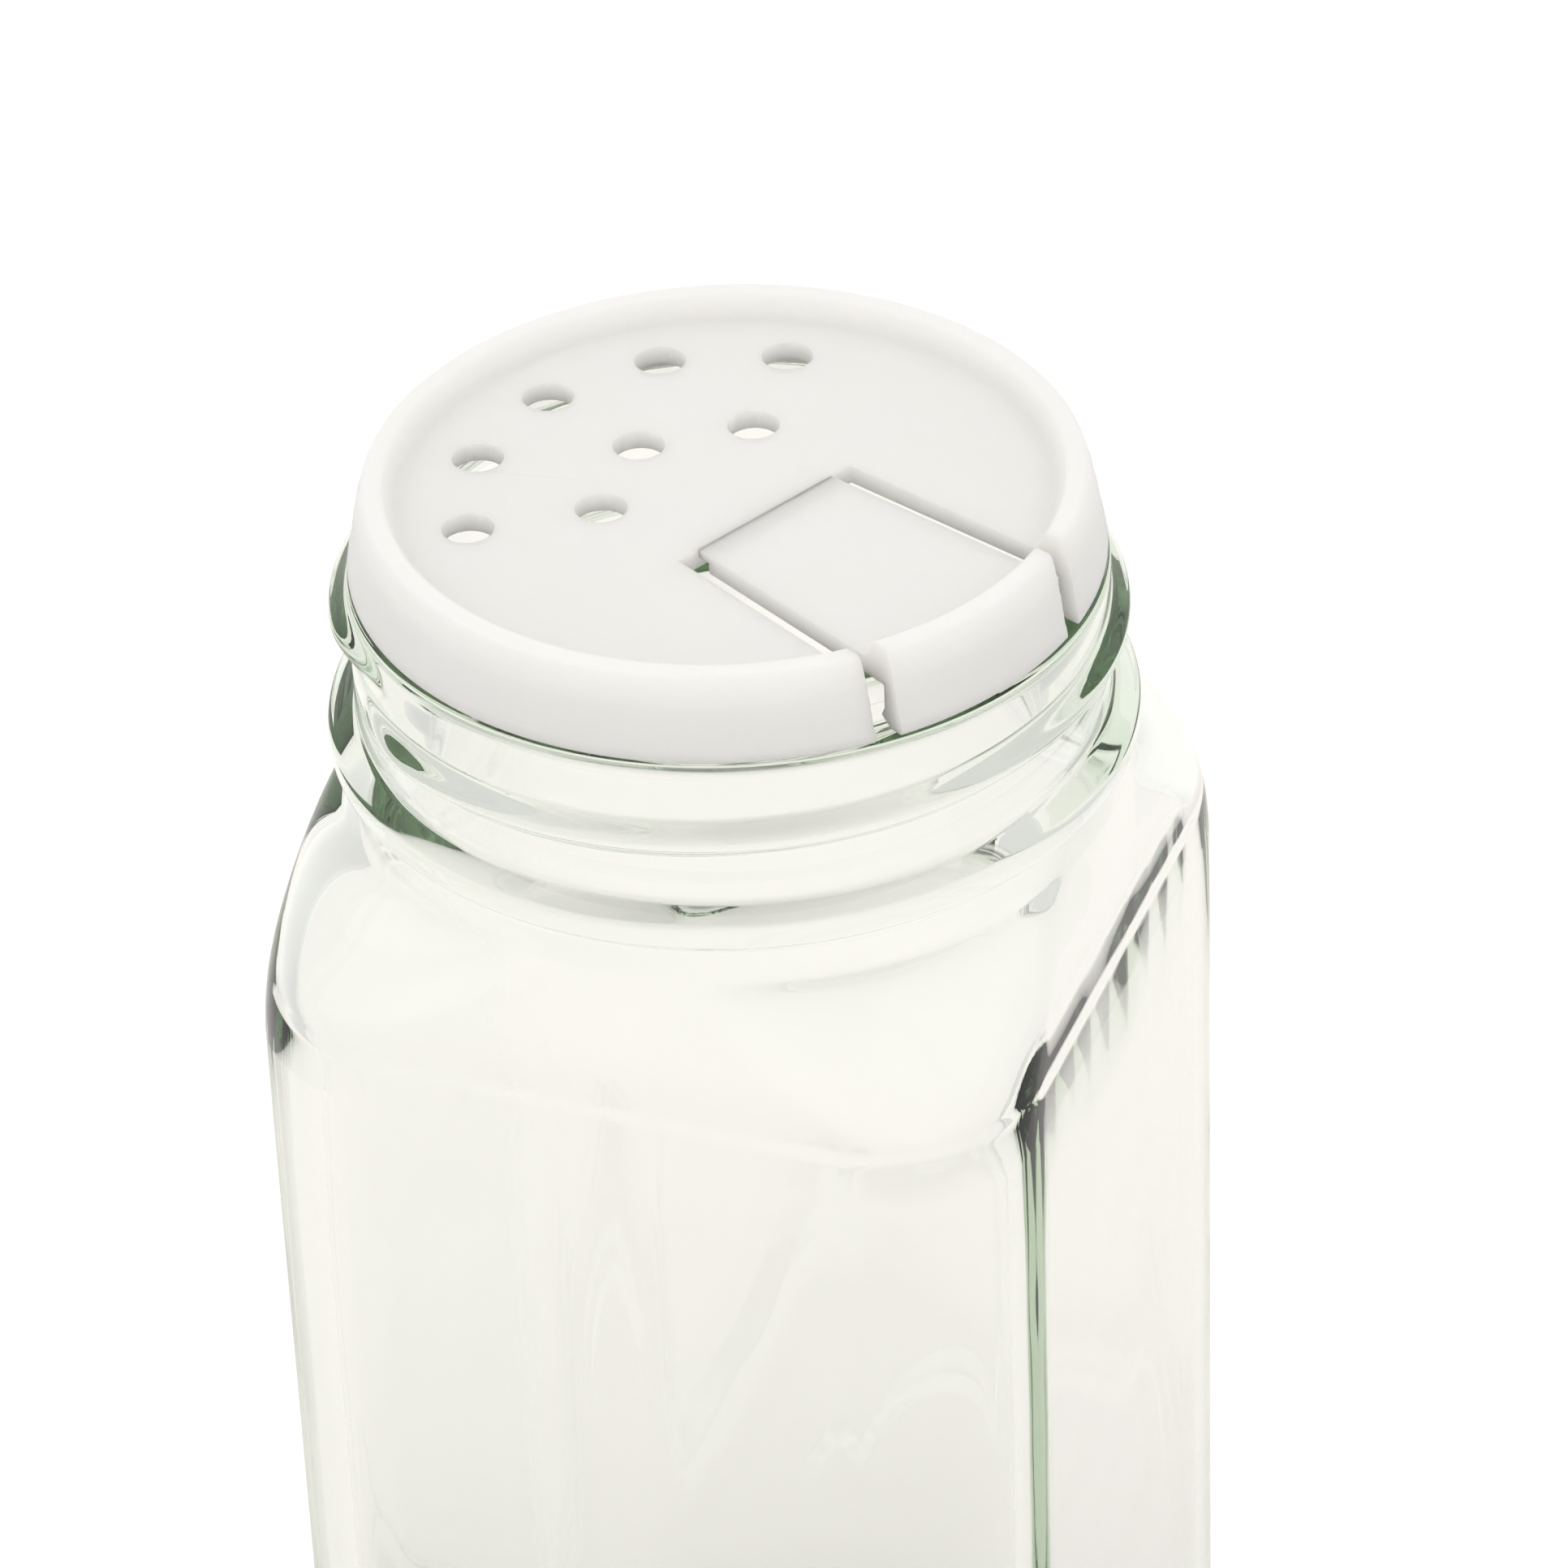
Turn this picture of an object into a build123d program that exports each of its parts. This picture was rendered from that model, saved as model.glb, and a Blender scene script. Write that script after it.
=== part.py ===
from build123d import *
import os

# Square glass spice jar with a push-on sifter whose pour flap swings up.
# Millimetres. The origin is the middle of the base, +Z points up to the mouth and -Y is the front face.
# Levels are worked out from the top of the rim down, and radii from the flat side of the body inwards.

# Square body
overall_height = 102.5
body_width = 43.2
body_corner_radius = 8.4
wall = 2.4
hollow_corner_radius = 6.0
floor_thickness = 4.0
floor_corner_radius = 4.5
heel_radius = 2.6
standing_ring_width = 8.0
push_up_depth = 1.0
push_up_slope = 2.5

# Shoulder between the square body and the round neck: the flat sides end at an edge and lean in above it
shoulder_height = 8.8
shoulder_overlap = 0.7
shoulder_edge_radius = 1.0
hollow_foot_offset = 0.8
hollow_top_offset = 1.2
neck_inset = 0.8
neck_root_depth = 4.6
neck_edge_flat = 0.1
shoulder_blend = 1.2
shoulder_shares = (0.0, 0.05, 0.14, 0.28, 0.42, 0.58, 0.78, 1.0)
outer_width_shares = (0.7, 1.0)
outer_corner_shares = (0.38, 1.0)
hollow_width_shares = (1.42, 6.0)
hollow_corner_shares = (1.5, 1.5)

# Neck with its transfer bead
neck_step = 1.2
neck_wall = 4.2
neck_height = 2.3
neck_foot_flare = 0.4
neck_blend = 1.0
bead_projection = 1.0
bead_lower_slope = 0.8
bead_band_height = 1.2
bead_upper_slope = 0.7
bead_blend = 0.5

# Threaded part of the finish and the plain lip that the sifter is pressed on
finish_inset = 0.5
finish_edge_radius = 0.45
thread_zone_height = 8.0
lip_wall = 1.6
lip_bead_projection = 0.3
lip_bead_height = 0.6
lip_bead_offset = 0.8
lip_outer_edge_radius = 0.5
lip_inner_edge_radius = 0.6

# Sifter moulding
disc_drop = 1.25
disc_thickness = 1.05
disc_edge_radius = 0.5
rim_seat_width = 0.7
rim_inner_slope = 0.6
rim_crest_width = 1.05
rim_outer_slope = 0.25
rim_shoulder_drop = 0.8
rim_edge_radius = 0.4
skirt_flare = 0.8
skirt_clearance = 0.35
snap_ridge_clearance = 0.1
snap_ridge_offset = 0.5
skirt_mouth_width = 0.7
skirt_mouth_height = 0.55
skirt_gap = 0.25
skirt_edge_radius = 0.2
skirt_blend = 0.15

# Sifting holes, in two arcs opposite the flap
hole_diameter = 2.75
outer_arc_margin = 3.6
outer_arc_holes = 5
outer_arc_span = 116.0
inner_arc_share = 0.4815
inner_arc_holes = 3
inner_arc_span = 114.0

# Pour flap
flap_angle = -25.5
hinge_offset = 3.0
flap_half_width_at_hinge = 4.75
flap_half_width_at_rim = 6.1
flap_overrun = 1.2
slot_width = 1.4
hinge_groove_width = 0.8
hinge_groove_depth = 0.6

# Levels, each a step below the one before it
disc_top = overall_height - disc_drop
lip_top = disc_top - disc_thickness
lip_bead_top = lip_top - lip_bead_offset
lip_bead_foot = lip_bead_top - lip_bead_height
snap_ridge_level = lip_bead_foot - snap_ridge_offset
skirt_foot = snap_ridge_level - skirt_mouth_height
finish_top = skirt_foot - skirt_gap
bead_top = finish_top - thread_zone_height
bead_band_top = bead_top - bead_upper_slope
bead_band_foot = bead_band_top - bead_band_height
bead_foot = bead_band_foot - bead_lower_slope
neck_foot = bead_foot - neck_height
shoulder_top = neck_foot + shoulder_overlap
shoulder_foot = shoulder_top - shoulder_height
hollow_top = shoulder_top - hollow_top_offset
hollow_foot = shoulder_foot - hollow_foot_offset

# Radii of the glass, from the body in to the bore and out again to the lip
half_width = body_width / 2
hollow_half_width = half_width - wall
push_up_radius = half_width - standing_ring_width
neck_radius = half_width - neck_step
neck_foot_radius = neck_radius + neck_foot_flare
bead_radius = neck_radius + bead_projection
finish_radius = neck_radius - finish_inset
bore_radius = neck_radius - neck_wall
lip_radius = bore_radius + lip_wall
lip_bead_radius = lip_radius + lip_bead_projection

# Radii of the sifter, from its seat on the lip
rim_inner_radius = lip_radius - rim_seat_width
rim_crest_inner_radius = rim_inner_radius + rim_inner_slope
rim_crest_outer_radius = rim_crest_inner_radius + rim_crest_width
rim_outer_radius = rim_crest_outer_radius + rim_outer_slope
skirt_foot_radius = rim_outer_radius + skirt_flare
skirt_inner_radius = lip_bead_radius + skirt_clearance
snap_ridge_radius = lip_bead_radius + snap_ridge_clearance
skirt_mouth_radius = snap_ridge_radius + skirt_mouth_width
outer_arc_radius = rim_inner_radius - outer_arc_margin
inner_arc_radius = outer_arc_radius * inner_arc_share
flap_reach = skirt_foot_radius + flap_overrun
flap_plane = Plane.XY.rotated((0, 0, flap_angle))


def eased(share, start, end):
    return 1 - (1 - share ** start) ** end


def shoulder_slices(foot, top, neck, half, corner, width_shares, corner_shares):
    # Height, half width and corner radius of each slice, from the round neck down to the square body
    slices = []
    for share in shoulder_shares:
        height = top + (foot - top) * share
        half_here = neck + (half - neck) * eased(share, *width_shares)
        corner_here = neck + (corner - neck) * eased(share, *corner_shares)
        slices.append((height, half_here, min(corner_here, half_here - neck_edge_flat)))
    return slices


def outline_with_rounds(corners):
    # Closed outline through corners given as distance from the axis, height and edge radius
    points = [(distance, height) for distance, height, edge in corners]
    FilletPolyline(*points, radius=[edge for distance, height, edge in corners], close=True)


# Hollow of the jar: square room, shoulder and round bore up through the lip
with BuildPart() as hollow:
    with BuildSketch(Plane.XY.offset(floor_thickness)):
        RectangleRounded(2 * hollow_half_width, 2 * hollow_half_width, hollow_corner_radius)
    extrude(amount=hollow_foot - floor_thickness)
    fillet(hollow.faces().sort_by(Axis.Z)[0].edges(), floor_corner_radius)
    for height, half_here, corner_here in shoulder_slices(
            hollow_foot, hollow_top, bore_radius - neck_inset, hollow_half_width,
            hollow_corner_radius, hollow_width_shares, hollow_corner_shares):
        with BuildSketch(Plane.XY.offset(height)):
            RectangleRounded(2 * half_here, 2 * half_here, corner_here)
    loft()
    with BuildSketch(Plane.XY.offset(hollow_top - neck_root_depth)):
        Circle(bore_radius)
    extrude(amount=overall_height - hollow_top + neck_root_depth)

# Jar: one piece of glass with square body, shoulder, transfer bead and neck finish
with BuildPart() as jar:
    with BuildSketch(Plane.XY):
        RectangleRounded(body_width, body_width, body_corner_radius)
    extrude(amount=shoulder_foot)
    fillet(jar.faces().sort_by(Axis.Z)[0].edges(), heel_radius)
    for height, half_here, corner_here in shoulder_slices(
            shoulder_foot, shoulder_top, neck_foot_radius - neck_inset, half_width,
            body_corner_radius, outer_width_shares, outer_corner_shares):
        with BuildSketch(Plane.XY.offset(height)):
            RectangleRounded(2 * half_here, 2 * half_here, corner_here)
    loft()
    shoulder_edge = jar.edges().filter_by_position(Axis.Z, shoulder_foot, shoulder_foot)
    fillet(shoulder_edge, shoulder_edge_radius)
    with BuildSketch(Plane.XZ):
        with BuildLine():
            outline_with_rounds((
                (0, shoulder_top - neck_root_depth, 0),
                (neck_foot_radius, shoulder_top - neck_root_depth, 0),
                (neck_foot_radius, neck_foot, neck_blend),
                (neck_radius, bead_foot, bead_blend),
                (bead_radius, bead_band_foot, bead_blend),
                (bead_radius, bead_band_top, bead_blend),
                (finish_radius, bead_top, bead_blend),
                (finish_radius, finish_top, finish_edge_radius),
                (lip_radius, finish_top, 0),
                (lip_bead_radius, lip_bead_foot, 0),
                (lip_bead_radius, lip_bead_top, 0),
                (lip_radius, lip_top, lip_outer_edge_radius),
                (0, lip_top, 0),
            ))
        make_face()
    revolve(axis=Axis.Z)
    neck_seam = jar.edges().filter_by_position(
        Axis.Z, shoulder_top - neck_root_depth, shoulder_top)
    fillet(neck_seam, shoulder_blend)
    add(hollow.part, mode=Mode.SUBTRACT)
    fillet(jar.faces().sort_by(Axis.Z)[-1].edges().sort_by(SortBy.LENGTH)[0], lip_inner_edge_radius)
    # Shallow push-up under the base, so that the jar stands on a ring
    with BuildSketch(Plane.XZ):
        with BuildLine():
            outline_with_rounds((
                (0, 0, 0),
                (push_up_radius, 0, 0),
                (push_up_radius - push_up_slope, push_up_depth, push_up_slope),
                (0, push_up_depth, 0),
            ))
        make_face()
    revolve(axis=Axis.Z, mode=Mode.SUBTRACT)


def moulding_profile():
    # Half section of the sifter: recessed disc, rounded rim and flared skirt with its snap ridge
    with BuildSketch(Plane.XZ) as profile:
        with BuildLine():
            outline_with_rounds((
                (0, disc_top, 0),
                (rim_inner_radius, disc_top, disc_edge_radius),
                (rim_crest_inner_radius, overall_height, rim_edge_radius),
                (rim_crest_outer_radius, overall_height, rim_edge_radius),
                (rim_outer_radius, overall_height - rim_shoulder_drop, rim_edge_radius),
                (skirt_foot_radius, skirt_foot, skirt_edge_radius),
                (skirt_mouth_radius, skirt_foot, skirt_edge_radius),
                (snap_ridge_radius, snap_ridge_level, skirt_blend),
                (skirt_inner_radius, lip_bead_foot, skirt_blend),
                (skirt_inner_radius, lip_top, 0),
                (0, lip_top, 0),
            ))
        make_face()
    return profile.sketch


def tongue_outline(margin):
    # Tapered outline of the flap seen from above, widened on both sides by the margin
    with BuildSketch(flap_plane.offset(skirt_foot)) as outline:
        with BuildLine():
            Polyline(
                (hinge_offset, -flap_half_width_at_hinge - margin),
                (flap_reach, -flap_half_width_at_rim - margin),
                (flap_reach, flap_half_width_at_rim + margin),
                (hinge_offset, flap_half_width_at_hinge + margin),
                close=True,
            )
        make_face()
    return outline.sketch


# Sifter: recessed disc with its holes, rim and skirt, open where the flap lies
with BuildPart() as sifter:
    revolve(moulding_profile(), axis=Axis.Z)
    extrude(tongue_outline(slot_width), amount=overall_height - skirt_foot, mode=Mode.SUBTRACT)
    with BuildSketch(flap_plane.offset(lip_top)):
        with PolarLocations(outer_arc_radius, outer_arc_holes, start_angle=180 - outer_arc_span / 2,
                            angular_range=outer_arc_span, endpoint=True):
            Circle(hole_diameter / 2)
        with PolarLocations(inner_arc_radius, inner_arc_holes, start_angle=180 - inner_arc_span / 2,
                            angular_range=inner_arc_span, endpoint=True):
            Circle(hole_diameter / 2)
    extrude(amount=disc_thickness, mode=Mode.SUBTRACT)

# Pour flap: the tongue of the disc with its piece of rim and skirt, bending at a groove beside the disc
with BuildPart() as pour_flap:
    revolve(moulding_profile(), axis=Axis.Z)
    extrude(tongue_outline(0), amount=overall_height - skirt_foot, mode=Mode.INTERSECT)
    with BuildSketch(flap_plane.offset(lip_top)):
        with Locations((hinge_offset, 0)):
            Rectangle(hinge_groove_width, 2 * flap_half_width_at_rim, align=(Align.MIN, Align.CENTER))
    extrude(amount=hinge_groove_depth, mode=Mode.SUBTRACT)

os.makedirs("parts", exist_ok=True)
jar.part.label = "jar"
sifter.part.label = "sifter"
pour_flap.part.label = "pour_flap"
export_step(jar.part, "parts/jar.step")
export_step(sifter.part, "parts/sifter.step")
export_step(pour_flap.part, "parts/pour_flap.step")
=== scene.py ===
import math

import bmesh
import bpy
from mathutils import Matrix, Vector


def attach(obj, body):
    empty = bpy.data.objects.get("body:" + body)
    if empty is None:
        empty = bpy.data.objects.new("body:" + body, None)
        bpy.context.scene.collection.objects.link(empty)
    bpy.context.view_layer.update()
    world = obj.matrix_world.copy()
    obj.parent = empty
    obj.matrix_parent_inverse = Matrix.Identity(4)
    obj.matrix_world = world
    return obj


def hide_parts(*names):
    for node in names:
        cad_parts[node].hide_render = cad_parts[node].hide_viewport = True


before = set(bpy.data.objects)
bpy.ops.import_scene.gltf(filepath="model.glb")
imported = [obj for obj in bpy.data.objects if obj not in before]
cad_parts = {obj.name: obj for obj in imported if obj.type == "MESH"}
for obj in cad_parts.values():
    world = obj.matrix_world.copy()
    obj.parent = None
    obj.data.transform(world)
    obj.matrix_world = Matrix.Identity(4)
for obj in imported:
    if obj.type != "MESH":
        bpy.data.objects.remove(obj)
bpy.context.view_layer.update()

# Camera
# A long lens looks down on the jar from a little to the right of its front face. Its place was worked
# out from the ellipse of the rim and the edges of the body, so it needs no shift. Lengths are in metres.
camera_bearing = math.radians(21.69)
camera_elevation = math.radians(34.95)
camera_roll = math.radians(-2.34)
camera_distance = 0.3862
camera_aim_height = 0.1025
camera_slide_right = 0.00309
camera_slide_up = -0.01615
lens_mm = 171.97
sensor_mm = 36.0

to_camera = Vector((
    math.sin(camera_bearing) * math.cos(camera_elevation),
    -math.cos(camera_bearing) * math.cos(camera_elevation),
    math.sin(camera_elevation),
))
level_right = Vector((math.cos(camera_bearing), math.sin(camera_bearing), 0.0))
level_up = to_camera.cross(level_right)
camera_right = level_right * math.cos(camera_roll) + level_up * math.sin(camera_roll)
camera_up = level_up * math.cos(camera_roll) - level_right * math.sin(camera_roll)
eye = (
    Vector((0.0, 0.0, camera_aim_height)) + to_camera * camera_distance
    + camera_right * camera_slide_right + camera_up * camera_slide_up
)
camera_data = bpy.data.cameras.new("camera")
camera_data.lens = lens_mm
camera_data.sensor_width = sensor_mm
camera = bpy.data.objects.new("camera", camera_data)
camera_turn = Matrix((camera_right, camera_up, to_camera)).transposed().to_4x4()
camera.matrix_world = Matrix.Translation(eye) @ camera_turn
bpy.context.scene.collection.objects.link(camera)
bpy.context.scene.camera = camera

# Jar
# The jar is one piece of clear soda-lime glass, blown in a mould. The flat sides of its square body end at
# an edge and lean in above it to a round neck, which has a transfer bead, one screw thread and a plain
# lip. Inside, the bore flares gently into the hollow. Sizes of the jar and its sifter are in millimetres.
MM = 0.001
half_width = 21.6
body_corner_radius = 8.4
heel_radius = 2.6
push_up_depth = 1.0
# Distance from the axis and height of the underside, from its middle out to the standing ring
push_up_outline = (
    (3.0, push_up_depth), (5.5, push_up_depth), (8.0, push_up_depth), (10.0, push_up_depth),
    (10.7, 0.985), (11.2, 0.91), (11.7, 0.75), (13.0, 0.24), (13.5, 0.08), (14.1, 0.0), (16.0, 0.0),
)
wall = 2.4
hollow_corner_radius = 6.0
floor_thickness = 4.0
floor_corner_radius = 4.5
floor_ring_radii = (13.0, 10.0, 6.5, 3.0)

# The shoulder grows from the neck to the body by these shares, and blends round off its seam and edge
shoulder_foot = 76.4
shoulder_top = 85.2
hollow_foot = 75.6
hollow_top = 89.0
neck_inset = 0.8
outer_width_shares = (0.7, 1.0)
outer_corner_shares = (0.38, 1.0)
hollow_width_shares = (1.8, 3.0)
hollow_corner_shares = (2.5, 1.5)
outer_seam_blend = 0.45
outer_edge_blend = 1.1
outer_edge_reach = 2.4
inner_seam_blend = 3.5
inner_edge_blend = 0.3
inner_edge_reach = 2.4
columns = 320
body_rows = 14
outer_shoulder_rows = 60
hollow_shoulder_rows = 56

neck_foot_radius = 20.8
neck_start_radius = 20.75
neck_radius = 20.4
bead_radius = 21.4
finish_radius = 19.9
lip_radius = 17.8
lip_bead_radius = 18.1
bore_radius = 16.2
bead_top = 89.5
finish_top = 97.5
lip_top = 100.18
# Distance from the axis, height and edge radius of each corner of the neck, from shoulder to bore
neck_outline = (
    (neck_start_radius, shoulder_top, 0.0), (neck_radius, 86.8, 0.5),
    (bead_radius, 87.6, 0.5), (bead_radius, 88.8, 0.5),
    (finish_radius, bead_top, 0.5), (finish_radius, finish_top, 0.45),
    (lip_radius, finish_top, 0.3), (lip_radius, 98.75, 0.2),
    (lip_bead_radius, 98.95, 0.2), (lip_bead_radius, 99.3, 0.2),
    (lip_radius, lip_top, 0.45), (bore_radius, lip_top, 0.6), (bore_radius, hollow_top, 0.0),
)
thread_row_step = 0.125
thread_pitch = 3.0
thread_projection = 1.0
thread_half_width = 1.2
thread_crest_power = 0.8
thread_root_depth = 1.0
thread_turns = 1.036
thread_run_out = 0.055
thread_start_angle = 229.7
thread_start_height = 95.93

glass_ior = 1.52
glass_tint = (0.63, 0.745, 0.60, 1.0)
glass_density = 40.0
glass_haze = 0.03
haze_patches_per_metre = 90.0
haze_noise_range = (0.6, 0.8)
glass_waves_per_metre = 70.0
glass_wave_height = 0.00012
glass_wave_strength = 0.6


def rounded_outline(corners, steps=5, largest_share=0.48):
    # Points along a line through corners, with an arc of the corner's edge radius at each. An arc takes
    # no more than the largest share of the lines on either side.
    points = [(corners[0][0], corners[0][1])]
    for before, corner, after in zip(corners, corners[1:], corners[2:]):
        here = Vector(corner[:2])
        back_along = Vector(before[:2]) - here
        on_along = Vector(after[:2]) - here
        if corner[2] == 0:
            points.append((here.x, here.y))
            continue
        half_angle = back_along.angle(on_along) / 2
        reach = corner[2] / math.tan(half_angle)
        reach = min(reach, back_along.length * largest_share, on_along.length * largest_share)
        start = here + back_along.normalized() * reach
        end = here + on_along.normalized() * reach
        middle = (back_along.normalized() + on_along.normalized()).normalized()
        centre = here + middle * (reach / math.cos(half_angle))
        radius = reach * math.tan(half_angle)
        start_arm = (start - centre) / radius
        end_arm = (end - centre) / radius
        turn = start_arm.angle(end_arm)
        for step in range(steps + 1):
            share = step / steps
            arm = start_arm * math.sin((1 - share) * turn) + end_arm * math.sin(share * turn)
            points.append(tuple(centre + arm / math.sin(turn) * radius))
    points.append((corners[-1][0], corners[-1][1]))
    return points


def rounded_square_radius(half, corner, angle):
    # Distance from the axis to the outline of a rounded square in one direction
    along = abs(math.cos(angle))
    across = abs(math.sin(angle))
    flat = half - corner
    if half * min(along, across) <= flat * max(along, across):
        return half / max(along, across)
    reach = flat * (along + across)
    return reach + math.sqrt(reach * reach - 2 * flat * flat + corner * corner)


def eased(share, start, end):
    # 0 at share 0 and 1 at share 1, and it goes on rising after that. A start below 1 rises fast at
    # first, and an end above 1 levels off.
    if share > 1:
        return share ** start
    return 1 - (1 - share ** start) ** end


def shoulder_row(share, foot, top, neck, half, corner, width_shares, corner_shares):
    # Height, half width and corner radius on the shoulder, from the neck (share 0) to the body (share 1)
    half_here = neck + (half - neck) * eased(share, *width_shares)
    corner_here = neck + (corner - neck) * eased(share, *corner_shares)
    return top + (foot - top) * share, half_here, min(corner_here, half_here)


def soft_maximum(first, second, blend):
    # The larger of two distances, rounded where they come closer than the blend
    overlap = max(blend - abs(first - second), 0.0)
    return max(first, second) + overlap * overlap / (4 * blend)


def soft_minimum(first, second, blend):
    return -soft_maximum(-first, -second, blend)


def jar_rows():
    # Rows of distances from the axis, each with its height, from the middle of the base up the outside,
    # over the lip and down the inside to the hollow's floor
    angles = [2 * math.pi * column / columns for column in range(columns)]

    def square_row(height, half, corner):
        return height, [rounded_square_radius(half, corner, angle) for angle in angles]

    def shoulder_rows(steps, foot, top, neck, half, corner, shares, edge_reach, edge_blend, seam_blend):
        # Rows down from the neck, over the edge at the shoulder's foot and a little way down the body
        least = neck + neck_inset
        last_share = 1 + edge_reach / (top - foot)
        shoulder = []
        for step in range(steps + 1):
            height, half_here, corner_here = shoulder_row(
                last_share * step / steps, foot, top, neck, half, corner, *shares)
            sloped = square_row(height, half_here, corner_here)[1]
            upright = square_row(height, half, corner)[1]
            row = [soft_minimum(first, second, edge_blend) for first, second in zip(sloped, upright)]
            shoulder.append((height, [soft_maximum(distance, least, seam_blend) for distance in row]))
        return shoulder

    rows = [(height, [distance] * columns) for distance, height in push_up_outline]
    heel_steps = 10
    for step in range(heel_steps + 1):
        turn = math.pi / 2 * step / heel_steps
        inset = heel_radius * (1 - math.sin(turn))
        height = heel_radius * (1 - math.cos(turn))
        rows.append(square_row(height, half_width - inset, body_corner_radius - inset))
    for step in range(1, body_rows):
        height = heel_radius + (shoulder_foot - outer_edge_reach - heel_radius) * step / body_rows
        rows.append(square_row(height, half_width, body_corner_radius))
    outer_shares = (outer_width_shares, outer_corner_shares)
    rows += reversed(shoulder_rows(
        outer_shoulder_rows, shoulder_foot, shoulder_top, neck_foot_radius - neck_inset, half_width,
        body_corner_radius, outer_shares, outer_edge_reach, outer_edge_blend, outer_seam_blend))
    # The tall wall of the finish gets many rows, so that the thread can be pushed out of it
    same_radius = 0.01
    least_threaded_height = 1.0
    for distance, height in rounded_outline(neck_outline)[1:-1]:
        last_height = rows[-1][0]
        on_finish = abs(distance - finish_radius) < same_radius
        if on_finish and height - last_height > least_threaded_height:
            steps = round((height - last_height) / thread_row_step)
            for step in range(1, steps):
                row_height = last_height + (height - last_height) * step / steps
                rows.append((row_height, [distance] * columns))
        rows.append((height, [distance] * columns))
    bore_steps = 6
    bore_start = rows[-1][0]
    for step in range(1, bore_steps):
        height = bore_start + (hollow_top - bore_start) * step / bore_steps
        rows.append((height, [bore_radius] * columns))
    hollow_half = half_width - wall
    hollow_shares = (hollow_width_shares, hollow_corner_shares)
    rows += shoulder_rows(
        hollow_shoulder_rows, hollow_foot, hollow_top, bore_radius - neck_inset, hollow_half,
        hollow_corner_radius, hollow_shares, inner_edge_reach, inner_edge_blend, inner_seam_blend)
    room_foot = floor_thickness + floor_corner_radius
    room_top = hollow_foot - inner_edge_reach
    for step in range(1, body_rows + 1):
        height = room_top + (room_foot - room_top) * step / body_rows
        rows.append(square_row(height, hollow_half, hollow_corner_radius))
    floor_steps = 9
    for step in range(1, floor_steps + 1):
        turn = math.pi / 2 * step / floor_steps
        inset = floor_corner_radius * (1 - math.cos(turn))
        height = room_foot - floor_corner_radius * math.sin(turn)
        rows.append(square_row(height, hollow_half - inset, hollow_corner_radius - inset))
    for distance in floor_ring_radii:
        rows.append((floor_thickness, [distance] * columns))
    return rows, angles


def turned_mesh(name, rows, angles, first_height, last_height):
    # Closed mesh through rows of points round the axis, with one point on the axis at each end
    points = [(0.0, 0.0, first_height * MM)]
    for height, row in rows:
        for distance, angle in zip(row, angles):
            across = distance * math.cos(angle) * MM
            along = distance * math.sin(angle) * MM
            points.append((across, along, height * MM))
    points.append((0.0, 0.0, last_height * MM))
    count = len(angles)
    faces = []
    for column in range(count):
        beside = (column + 1) % count
        faces.append((0, 1 + beside, 1 + column))
        for row in range(len(rows) - 1):
            start = 1 + row * count
            above = start + count
            faces.append((start + column, start + beside, above + beside, above + column))
        start = 1 + (len(rows) - 1) * count
        faces.append((start + column, start + beside, len(points) - 1))
    mesh = bpy.data.meshes.new(name)
    mesh.from_pydata(points, [], faces)
    mesh.shade_smooth()
    return mesh


def add_piece(name, mesh):
    piece = bpy.data.objects.new(name, mesh)
    bpy.context.scene.collection.objects.link(piece)
    return piece


def node_tree_with_inputs(name, inputs):
    # Geometry Nodes tree with a mesh input, the named size inputs and a material input
    tree = bpy.data.node_groups.new(name, "GeometryNodeTree")
    tree.interface.new_socket("Geometry", in_out="INPUT", socket_type="NodeSocketGeometry")
    identifiers = {}
    for input_name, kind in inputs:
        socket = tree.interface.new_socket(input_name, in_out="INPUT", socket_type=kind)
        identifiers[input_name] = socket.identifier
    socket = tree.interface.new_socket("Material", in_out="INPUT", socket_type="NodeSocketMaterial")
    identifiers["Material"] = socket.identifier
    tree.interface.new_socket("Geometry", in_out="OUTPUT", socket_type="NodeSocketGeometry")
    return tree, tree.nodes.new("NodeGroupInput"), tree.nodes.new("NodeGroupOutput"), identifiers


def maths(tree, operation, *values):
    # One step of arithmetic on numbers or sockets, in any kind of node tree
    node = tree.nodes.new("ShaderNodeMath")
    node.operation = operation
    for socket, value in zip(node.inputs, values):
        if isinstance(value, (int, float)):
            socket.default_value = value
        else:
            tree.links.new(value, socket)
    return node.outputs[0]


def finish_tree(tree, group_input, group_output, geometry):
    # Ends a tree in real geometry with the material on it
    realize = tree.nodes.new("GeometryNodeRealizeInstances")
    tree.links.new(geometry, realize.inputs["Geometry"])
    set_material = tree.nodes.new("GeometryNodeSetMaterial")
    tree.links.new(realize.outputs["Geometry"], set_material.inputs["Geometry"])
    tree.links.new(group_input.outputs["Material"], set_material.inputs["Material"])
    tree.links.new(set_material.outputs["Geometry"], group_output.inputs["Geometry"])


def apply_modifiers(piece):
    # Leaves the evaluated shape as the piece's own plain mesh
    bpy.context.view_layer.update()
    evaluated = piece.evaluated_get(bpy.context.evaluated_depsgraph_get())
    finished = bpy.data.meshes.new_from_object(evaluated)
    finished.name = piece.name
    piece.modifiers.clear()
    piece.data = finished


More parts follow.
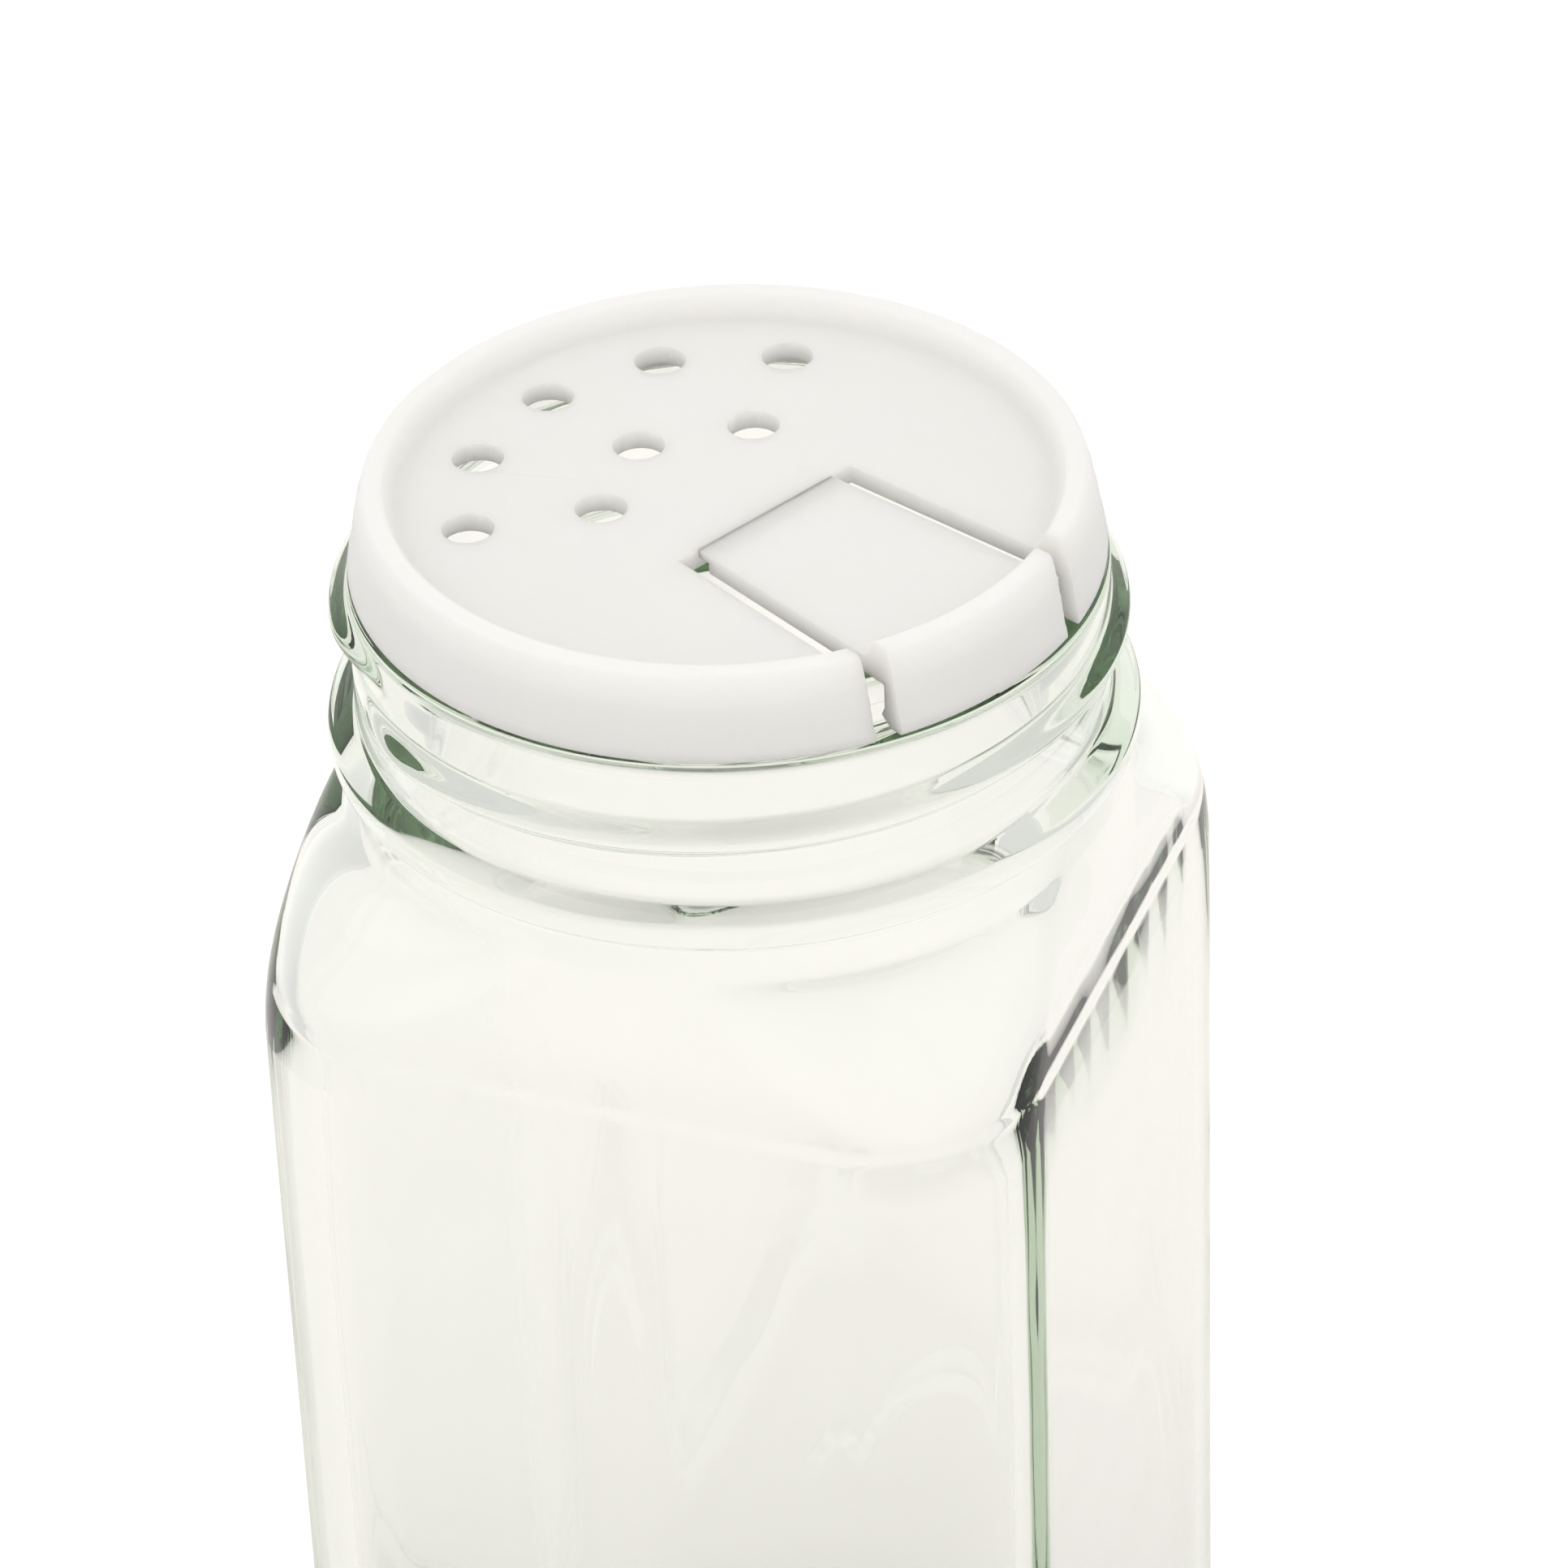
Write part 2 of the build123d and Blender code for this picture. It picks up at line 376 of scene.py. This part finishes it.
def thread_tree():
    # Pushes the neck's wall out along a helix that runs down clockwise, seen from above. The ridge fades
    # at both ends.
    sizes = (
        "Start height", "Start angle", "Pitch", "Turns", "Run out", "Projection", "Half width",
        "Crest power", "Least radius",
    )
    tree, group_input, group_output, identifiers = node_tree_with_inputs(
        "screw_thread", [(size, "NodeSocketFloat") for size in sizes])
    given = group_input.outputs
    position = tree.nodes.new("GeometryNodeInputPosition")
    parts = tree.nodes.new("ShaderNodeSeparateXYZ")
    tree.links.new(position.outputs[0], parts.inputs[0])
    across, along, height = parts.outputs
    angle = maths(tree, "ARCTAN2", along, across)
    turned = maths(tree, "SUBTRACT", given["Start angle"], angle)
    turned = maths(tree, "DIVIDE", turned, 2 * math.pi)
    part_turn = maths(tree, "FRACT", turned)
    depth = maths(tree, "SUBTRACT", given["Start height"], height)
    coil = maths(tree, "SUBTRACT", maths(tree, "DIVIDE", depth, given["Pitch"]), part_turn)
    coil = maths(tree, "MAXIMUM", maths(tree, "ROUND", coil), 0.0)
    progress = maths(tree, "ADD", coil, part_turn)
    crest_depth = maths(tree, "MULTIPLY", progress, given["Pitch"])
    from_crest = maths(tree, "SUBTRACT", depth, crest_depth)
    share = maths(tree, "DIVIDE", maths(tree, "ABSOLUTE", from_crest), given["Half width"])
    share = maths(tree, "MINIMUM", share, 1.0)
    ridge = maths(tree, "COSINE", maths(tree, "MULTIPLY", share, math.pi))
    ridge = maths(tree, "MULTIPLY_ADD", ridge, 0.5, 0.5)
    ridge = maths(tree, "POWER", ridge, given["Crest power"])
    from_start = maths(tree, "DIVIDE", progress, given["Run out"])
    turns_left = maths(tree, "SUBTRACT", given["Turns"], progress)
    from_end = maths(tree, "DIVIDE", turns_left, given["Run out"])
    nearest_end = maths(tree, "MINIMUM", from_start, from_end)
    fade = tree.nodes.new("ShaderNodeMapRange")
    fade.interpolation_type = "SMOOTHSTEP"
    tree.links.new(nearest_end, fade.inputs["Value"])
    across_squared = maths(tree, "MULTIPLY", across, across)
    along_squared = maths(tree, "MULTIPLY", along, along)
    radius = maths(tree, "SQRT", maths(tree, "ADD", across_squared, along_squared))
    outside = maths(tree, "GREATER_THAN", radius, given["Least radius"])
    push = maths(tree, "MULTIPLY", ridge, fade.outputs["Result"])
    push = maths(tree, "MULTIPLY", push, given["Projection"])
    push = maths(tree, "MULTIPLY", push, outside)
    direction = tree.nodes.new("ShaderNodeCombineXYZ")
    tree.links.new(maths(tree, "COSINE", angle), direction.inputs[0])
    tree.links.new(maths(tree, "SINE", angle), direction.inputs[1])
    offset = tree.nodes.new("ShaderNodeVectorMath")
    offset.operation = "SCALE"
    tree.links.new(direction.outputs[0], offset.inputs[0])
    tree.links.new(push, offset.inputs["Scale"])
    move = tree.nodes.new("GeometryNodeSetPosition")
    tree.links.new(given["Geometry"], move.inputs["Geometry"])
    tree.links.new(offset.outputs[0], move.inputs["Offset"])
    finish_tree(tree, group_input, group_output, move.outputs["Geometry"])
    return tree, identifiers


def new_material(name):
    # Material with its node tree, its shader and the piece's own coordinates
    material = bpy.data.materials.new(name)
    material.use_nodes = True
    tree = material.node_tree
    shader = tree.nodes["Principled BSDF"]
    coordinates = tree.nodes.new("ShaderNodeTexCoord").outputs["Object"]
    return material, tree, shader, coordinates


def noise(tree, coordinates, per_metre, detail):
    node = tree.nodes.new("ShaderNodeTexNoise")
    node.inputs["Scale"].default_value = per_metre
    node.inputs["Detail"].default_value = detail
    tree.links.new(coordinates, node.inputs["Vector"])
    return node.outputs["Fac"]


def in_range(tree, value, low, high, value_low=0.3, value_high=0.7):
    # Low where the value is at or under value_low, high at or over value_high, and even steps between
    node = tree.nodes.new("ShaderNodeMapRange")
    ends = (("From Min", value_low), ("From Max", value_high), ("To Min", low), ("To Max", high))
    for name, number in ends:
        node.inputs[name].default_value = number
    tree.links.new(value, node.inputs["Value"])
    return node.outputs["Result"]


def bump(tree, height, distance, strength, normal=None):
    node = tree.nodes.new("ShaderNodeBump")
    node.inputs["Strength"].default_value = strength
    node.inputs["Distance"].default_value = distance
    tree.links.new(height, node.inputs["Height"])
    if normal is not None:
        tree.links.new(normal, node.inputs["Normal"])
    return node.outputs["Normal"]


def clear_glass():
    # Soda-lime glass: faintly green through its thickness, fire-polished, with slow waves from the
    # mould and a little haze in patches
    material, tree, shader, coordinates = new_material("clear_glass")
    shader.inputs["Base Color"].default_value = (1.0, 1.0, 1.0, 1.0)
    shader.inputs["Transmission Weight"].default_value = 1.0
    shader.inputs["IOR"].default_value = glass_ior
    haze = noise(tree, coordinates, haze_patches_per_metre, 2.0)
    haze = in_range(tree, haze, 0.0, glass_haze, *haze_noise_range)
    tree.links.new(haze, shader.inputs["Roughness"])
    waves = noise(tree, coordinates, glass_waves_per_metre, 1.0)
    normal = bump(tree, waves, glass_wave_height, glass_wave_strength)
    tree.links.new(normal, shader.inputs["Normal"])
    absorption = tree.nodes.new("ShaderNodeVolumeAbsorption")
    absorption.inputs["Color"].default_value = glass_tint
    absorption.inputs["Density"].default_value = glass_density
    output = tree.nodes["Material Output"]
    tree.links.new(absorption.outputs["Volume"], output.inputs["Volume"])
    return material


glass = clear_glass()
rows, angles = jar_rows()
jar = add_piece("glass_jar", turned_mesh("glass_jar", rows, angles, push_up_depth, floor_thickness))
tree, identifiers = thread_tree()
thread = jar.modifiers.new("screw_thread", "NODES")
thread.node_group = tree
for size, value in (
    ("Start height", thread_start_height * MM), ("Start angle", math.radians(thread_start_angle)),
    ("Pitch", thread_pitch * MM), ("Turns", thread_turns), ("Run out", thread_run_out),
    ("Projection", thread_projection * MM), ("Half width", thread_half_width * MM),
    ("Crest power", thread_crest_power), ("Least radius", (finish_radius - thread_root_depth) * MM),
    ("Material", glass),
):
    thread[identifiers[size]] = value
apply_modifiers(jar)
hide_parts("jar")
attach(jar, "jar")

# Sifter
# The sifter is one moulding of natural polypropylene, pressed over the plain lip of the jar. It has a
# recessed disc with eight holes in two arcs, a rounded rim and a flared skirt, open where the flap lies.
overall_height = 102.5
disc_top = 101.25
disc_foot = 100.2
skirt_foot = 97.75
# Distance from the axis, height and edge radius of each corner of the section, from the middle of the
# disc over the rim, down the skirt with its three faint steps and back inside to the middle
moulding_outline = (
    (0.0, disc_top, 0.0), (17.1, disc_top, 0.5),
    (17.7, overall_height, 0.4), (18.75, overall_height, 0.4), (19.0, 101.7, 0.4),
    (19.05, 101.43, 0.0), (19.12, 101.31, 0.0),
    (19.26, 100.41, 0.0), (19.33, 100.29, 0.0),
    (19.6, 98.61, 0.0), (19.67, 98.49, 0.0),
    (19.8, skirt_foot, 0.2), (18.9, skirt_foot, 0.2), (18.2, 98.3, 0.15), (18.45, 98.8, 0.15),
    (18.45, disc_foot, 0.1), (0.0, disc_foot, 0.0),
)
moulding_columns = 288
moulding_middle_radius = 1.2
cutter_overrun = 1.0
flap_angle = math.radians(-25.5)
hinge_offset = 3.0
flap_half_width_at_hinge = 4.75
flap_half_width_at_rim = 6.1
flap_reach = 21.0
slot_width = 1.4
hole_diameter = 2.75
hole_sides = 40
# Radius, number of holes and span in degrees of each arc
hole_arcs = ((13.5, 5, 116.0), (6.5, 3, 114.0))
edge_round = 0.1
sharp_edge_angle = math.radians(40)
crisp_edge_angle = math.radians(35)
web_tolerance = 0.02
joined_points = 0.002
sliver_width = 0.001

plastic_ior = 1.49
plastic_pale = (0.97, 0.93, 0.88, 1.0)
plastic_paler = (0.98, 0.945, 0.90, 1.0)
plastic_clearness = 0.2
plastic_glow = 1.0
plastic_glow_depth = 0.0025
plastic_roughness = (0.4, 0.5)
clouds_per_metre = 160.0
grain_per_metre = 5200.0
grain_height = 0.000012
grain_strength = 0.5
flow_waves_per_metre = 420.0
flow_wave_height = 0.00003
flow_wave_strength = 0.3


def moulding_mesh(name):
    # The section turned all the way round, before anything is cut from it
    points = rounded_outline(moulding_outline)[1:-1]
    turns = [2 * math.pi * column / moulding_columns for column in range(moulding_columns)]
    rows = [(height, [distance] * moulding_columns) for distance, height in points]
    rows.insert(0, (disc_top, [moulding_middle_radius] * moulding_columns))
    rows.append((disc_foot, [moulding_middle_radius] * moulding_columns))
    mesh = turned_mesh(name, rows, turns, disc_top, disc_foot)
    mesh.flip_normals()
    return mesh


def add_block(name, corners, foot, top):
    # Upright block between two heights, over four corners given along the flap and across it
    turn = Matrix.Rotation(flap_angle, 4, "Z")
    points = [turn @ Vector((along * MM, across * MM, height * MM))
              for height in (foot, top) for along, across in corners]
    faces = [(3, 2, 1, 0), (4, 5, 6, 7)]
    for side in range(4):
        beside = (side + 1) % 4
        faces.append((side, beside, 4 + beside, 4 + side))
    mesh = bpy.data.meshes.new(name)
    mesh.from_pydata(points, [], faces)
    return add_piece(name, mesh)


def add_flap_block(name, margin):
    # Block with the tapered outline of the flap, widened on both sides by the margin
    at_hinge = flap_half_width_at_hinge + margin
    at_rim = flap_half_width_at_rim + margin
    corners = (
        (hinge_offset, -at_hinge), (flap_reach, -at_rim), (flap_reach, at_rim), (hinge_offset, at_hinge),
    )
    return add_block(name, corners, skirt_foot - cutter_overrun, overall_height + cutter_overrun)


def cut_with(piece, cutter, operation):
    # Adds the cut to the piece's modifiers, and apply_modifiers carries it out
    modifier = piece.modifiers.new(operation.lower(), "BOOLEAN")
    modifier.operation = operation
    modifier.solver = "EXACT"
    modifier.object = cutter


def soften_edges(piece):
    # Rounds the sharp edges, but not those at the web, where the flap and the rest are one moulding
    shape = bmesh.new()
    shape.from_mesh(piece.data)
    out_along_flap = Vector((math.cos(flap_angle), math.sin(flap_angle), 0.0))

    def at_web(vertex):
        from_web = vertex.co.dot(out_along_flap) - hinge_offset * MM
        return abs(from_web) < web_tolerance * MM

    weight = shape.edges.layers.float.new("bevel_weight_edge")
    for edge in shape.edges:
        is_sharp = edge.is_manifold and edge.calc_face_angle() > sharp_edge_angle
        if is_sharp and not all(at_web(vertex) for vertex in edge.verts):
            edge[weight] = 1.0
    shape.to_mesh(piece.data)
    shape.free()
    modifier = piece.modifiers.new("edges", "BEVEL")
    modifier.width = edge_round * MM
    modifier.segments = 2
    modifier.limit_method = "WEIGHT"
    apply_modifiers(piece)


def tidy_mesh(piece):
    # Joins doubled points, drops slivers and shades smoothly, except over edges that stay crisp
    shape = bmesh.new()
    shape.from_mesh(piece.data)
    bmesh.ops.remove_doubles(shape, verts=shape.verts, dist=joined_points * MM)
    bmesh.ops.dissolve_degenerate(shape, edges=shape.edges, dist=sliver_width * MM)
    bmesh.ops.recalc_face_normals(shape, faces=shape.faces)
    shape.to_mesh(piece.data)
    shape.free()
    piece.data.shade_smooth()
    piece.data.set_sharp_from_angle(angle=crisp_edge_angle)


def hole_tree():
    # Cuts round holes, spread evenly along arcs about the axis and opposite the flap
    inputs = [
        ("Middle angle", "NodeSocketFloat"), ("Hole diameter", "NodeSocketFloat"),
        ("Hole sides", "NodeSocketInt"), ("Level", "NodeSocketFloat"), ("Depth", "NodeSocketFloat"),
    ]
    for number in range(1, len(hole_arcs) + 1):
        inputs += [
            (f"Arc {number} radius", "NodeSocketFloat"), (f"Arc {number} holes", "NodeSocketInt"),
            (f"Arc {number} span", "NodeSocketFloat"),
        ]
    tree, group_input, group_output, identifiers = node_tree_with_inputs("sifting_holes", inputs)
    given = group_input.outputs
    drill = tree.nodes.new("GeometryNodeMeshCylinder")
    drill.fill_type = "NGON"
    tree.links.new(given["Hole sides"], drill.inputs["Vertices"])
    tree.links.new(maths(tree, "MULTIPLY", given["Hole diameter"], 0.5), drill.inputs["Radius"])
    tree.links.new(given["Depth"], drill.inputs["Depth"])
    drills = tree.nodes.new("GeometryNodeJoinGeometry")
    index = tree.nodes.new("GeometryNodeInputIndex").outputs[0]
    for number in range(1, len(hole_arcs) + 1):
        radius, count, span = (given[f"Arc {number} {size}"] for size in ("radius", "holes", "span"))
        step = maths(tree, "DIVIDE", span, maths(tree, "SUBTRACT", count, 1))
        half_span = maths(tree, "MULTIPLY", span, 0.5)
        first = maths(tree, "SUBTRACT", given["Middle angle"], half_span)
        angle = maths(tree, "MULTIPLY_ADD", index, step, first)
        across = maths(tree, "MULTIPLY", radius, maths(tree, "COSINE", angle))
        along = maths(tree, "MULTIPLY", radius, maths(tree, "SINE", angle))
        place = tree.nodes.new("ShaderNodeCombineXYZ")
        for value, socket in zip((across, along, given["Level"]), place.inputs):
            tree.links.new(value, socket)
        points = tree.nodes.new("GeometryNodePoints")
        tree.links.new(count, points.inputs["Count"])
        tree.links.new(place.outputs[0], points.inputs["Position"])
        instances = tree.nodes.new("GeometryNodeInstanceOnPoints")
        tree.links.new(points.outputs[0], instances.inputs["Points"])
        tree.links.new(drill.outputs["Mesh"], instances.inputs["Instance"])
        tree.links.new(instances.outputs[0], drills.inputs[0])
    realized = tree.nodes.new("GeometryNodeRealizeInstances")
    tree.links.new(drills.outputs[0], realized.inputs["Geometry"])
    cut = tree.nodes.new("GeometryNodeMeshBoolean")
    cut.operation = "DIFFERENCE"
    cut.solver = "EXACT"
    tree.links.new(given["Geometry"], cut.inputs["Mesh 1"])
    tree.links.new(realized.outputs[0], cut.inputs["Mesh 2"])
    finish_tree(tree, group_input, group_output, cut.outputs["Mesh"])
    return tree, identifiers


def natural_plastic():
    # Natural polypropylene: milky, lets light and soft shapes through, with a fine satin grain and slow
    # flow waves from the mould
    material, tree, shader, coordinates = new_material("milky_polypropylene")
    cloud = noise(tree, coordinates, clouds_per_metre, 3.0)
    tint = tree.nodes.new("ShaderNodeMix")
    tint.data_type = "RGBA"
    tint.inputs["A"].default_value = plastic_pale
    tint.inputs["B"].default_value = plastic_paler
    tree.links.new(in_range(tree, cloud, 0.0, 1.0), tint.inputs["Factor"])
    tree.links.new(tint.outputs["Result"], shader.inputs["Base Color"])
    shader.inputs["IOR"].default_value = plastic_ior
    shader.inputs["Transmission Weight"].default_value = plastic_clearness
    shader.inputs["Subsurface Weight"].default_value = plastic_glow
    shader.inputs["Subsurface Radius"].default_value = (1.0, 1.0, 1.0)
    shader.inputs["Subsurface Scale"].default_value = plastic_glow_depth
    tree.links.new(in_range(tree, cloud, *plastic_roughness), shader.inputs["Roughness"])
    grain = noise(tree, coordinates, grain_per_metre, 2.0)
    flow = noise(tree, coordinates, flow_waves_per_metre, 2.0)
    normal = bump(tree, grain, grain_height, grain_strength)
    normal = bump(tree, flow, flow_wave_height, flow_wave_strength, normal)
    tree.links.new(normal, shader.inputs["Normal"])
    return material


plastic = natural_plastic()
sifter = add_piece("sifter_moulding", moulding_mesh("sifter_moulding"))
sifter.data.materials.append(plastic)
slot_cutter = add_flap_block("slot_cutter", slot_width)
cut_with(sifter, slot_cutter, "DIFFERENCE")
tree, identifiers = hole_tree()
drilling = sifter.modifiers.new("sifting_holes", "NODES")
drilling.node_group = tree
settings = [
    ("Middle angle", flap_angle + math.pi),
    ("Hole diameter", hole_diameter * MM),
    ("Hole sides", hole_sides),
    ("Level", (disc_top + disc_foot) / 2 * MM),
    ("Depth", 3 * (disc_top - disc_foot) * MM),
    ("Material", plastic),
]
for number, (arc_radius, arc_holes, arc_span) in enumerate(hole_arcs, 1):
    settings += [
        (f"Arc {number} radius", arc_radius * MM),
        (f"Arc {number} holes", arc_holes),
        (f"Arc {number} span", math.radians(arc_span)),
    ]
for size, value in settings:
    drilling[identifiers[size]] = value
apply_modifiers(sifter)
bpy.data.objects.remove(slot_cutter)
soften_edges(sifter)
tidy_mesh(sifter)
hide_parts("sifter")
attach(sifter, "sifter")

# Pour flap
# The flap is the tongue of the same moulding, cut free along both sides, with its piece of rim and skirt.
# It bends up at a thin web beside the middle of the disc, where a groove runs across its underside.
hinge_groove_width = 0.8
hinge_groove_depth = 0.6
groove_start = hinge_offset - cutter_overrun
groove_end = hinge_offset + hinge_groove_width
groove_half_length = flap_half_width_at_rim + cutter_overrun
groove_corners = (
    (groove_start, -groove_half_length), (groove_end, -groove_half_length),
    (groove_end, groove_half_length), (groove_start, groove_half_length),
)

flap = add_piece("pour_flap_tongue", moulding_mesh("pour_flap_tongue"))
flap.data.materials.append(plastic)
flap_cutter = add_flap_block("flap_cutter", 0.0)
groove_cutter = add_block(
    "groove_cutter", groove_corners, disc_foot - cutter_overrun, disc_foot + hinge_groove_depth)
cut_with(flap, flap_cutter, "INTERSECT")
cut_with(flap, groove_cutter, "DIFFERENCE")
apply_modifiers(flap)
bpy.data.objects.remove(flap_cutter)
bpy.data.objects.remove(groove_cutter)
soften_edges(flap)
tidy_mesh(flap)
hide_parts("pour_flap")
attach(flap, "pour_flap")

# Floor and light
# The jar stands on a plain white table between two soft boxes, in a white room. To either side the room
# is dimmer low down, which draws the dark lines in the glass. Lengths are in metres. Light is followed
# through many surfaces, because fewer leave black patches where the glass reflects it inside.
floor_width = 0.26
floor_length = 1.8
floor_drop = 0.0001
floor_colour = (0.90, 0.875, 0.86, 1.0)
floor_roughness = 0.9
floor_gloss = 0.1
floor_lift = 0.2
room_colour = (1.0, 0.985, 0.965, 1.0)
room_strength = 1.12
room_bright = 1.0
room_dim = 0.7
dim_below = 0.05
bright_above = 0.55
bright_within = 0.45
dim_beyond = 0.8
light_bounces = 36
# Name, place, width and power in watts
soft_boxes = (
    ("soft_box_left", (-0.75, -0.55, 0.95), 1.6, 2.0),
    ("soft_box_right", (0.95, 0.15, 0.75), 1.4, 1.0),
)
soft_box_aim = Vector((0.0, 0.0, 0.06))
white = (1.0, 1.0, 1.0, 1.0)

# A hair of air stays between the glass and the table, so that light gets in under the jar
level_away = Vector((0.0, 0.0, 1.0)).cross(level_right)
floor_middle = Vector((0.0, 0.0, -floor_drop))
floor_corners = [
    floor_middle + level_right * floor_width / 2 * across + level_away * floor_length / 2 * along
    for across, along in ((-1, -1), (1, -1), (1, 1), (-1, 1))
]
floor_mesh = bpy.data.meshes.new("floor")
floor_mesh.from_pydata(floor_corners, [], [(0, 1, 2, 3)])
floor = add_piece("floor", floor_mesh)


def seen_directly(tree):
    # 1 for what the camera sees itself, and 0 for light and for what the glass shows
    return tree.nodes.new("ShaderNodeLightPath").outputs["Is Camera Ray"]


floor_material = bpy.data.materials.new("white_table")
floor_material.use_nodes = True
tree = floor_material.node_tree
floor_shader = tree.nodes["Principled BSDF"]
floor_shader.inputs["Base Color"].default_value = floor_colour
floor_shader.inputs["Roughness"].default_value = floor_roughness
floor_shader.inputs["Specular IOR Level"].default_value = floor_gloss
floor_shader.inputs["Emission Color"].default_value = white
lift = maths(tree, "MULTIPLY", seen_directly(tree), floor_lift)
tree.links.new(lift, floor_shader.inputs["Emission Strength"])
floor_mesh.materials.append(floor_material)

room = bpy.data.worlds.new("room")
bpy.context.scene.world = room
room.use_nodes = True
tree = room.node_tree
direction = tree.nodes.new("ShaderNodeTexCoord").outputs["Generated"]
split = tree.nodes.new("ShaderNodeSeparateXYZ")
tree.links.new(direction, split.inputs[0])
overhead = in_range(tree, split.outputs["Z"], room_dim, room_bright, dim_below, bright_above)
# How far a direction points to the right or left, from 0 straight ahead and behind to 1
sideways = tree.nodes.new("ShaderNodeVectorMath")
sideways.operation = "DOT_PRODUCT"
tree.links.new(direction, sideways.inputs[0])
sideways.inputs[1].default_value = level_right
to_a_side = maths(tree, "ABSOLUTE", sideways.outputs["Value"])
ahead = in_range(tree, to_a_side, room_bright, room_dim, bright_within, dim_beyond)
brightness = maths(tree, "MAXIMUM", overhead, ahead)
room_shader = tree.nodes["Background"]
room_shader.inputs["Color"].default_value = room_colour
tree.links.new(maths(tree, "MULTIPLY", brightness, room_strength), room_shader.inputs["Strength"])
white_shader = tree.nodes.new("ShaderNodeBackground")
white_shader.inputs["Color"].default_value = white
mix = tree.nodes.new("ShaderNodeMixShader")
tree.links.new(seen_directly(tree), mix.inputs["Fac"])
tree.links.new(room_shader.outputs[0], mix.inputs[1])
tree.links.new(white_shader.outputs[0], mix.inputs[2])
tree.links.new(mix.outputs[0], tree.nodes["World Output"].inputs["Surface"])

for name, place, size, power in soft_boxes:
    away = Vector(place) - soft_box_aim
    lamp = bpy.data.lights.new(name, "AREA")
    lamp.shape = "SQUARE"
    lamp.size = size
    lamp.energy = power
    box = bpy.data.objects.new(name, lamp)
    turn = away.to_track_quat("Z", "Y").to_matrix().to_4x4()
    box.matrix_world = Matrix.Translation(Vector(place)) @ turn
    bpy.context.scene.collection.objects.link(box)

bpy.context.scene.view_settings.view_transform = "Standard"
cycles = bpy.context.scene.cycles
cycles.max_bounces = light_bounces
cycles.transmission_bounces = light_bounces
cycles.glossy_bounces = light_bounces
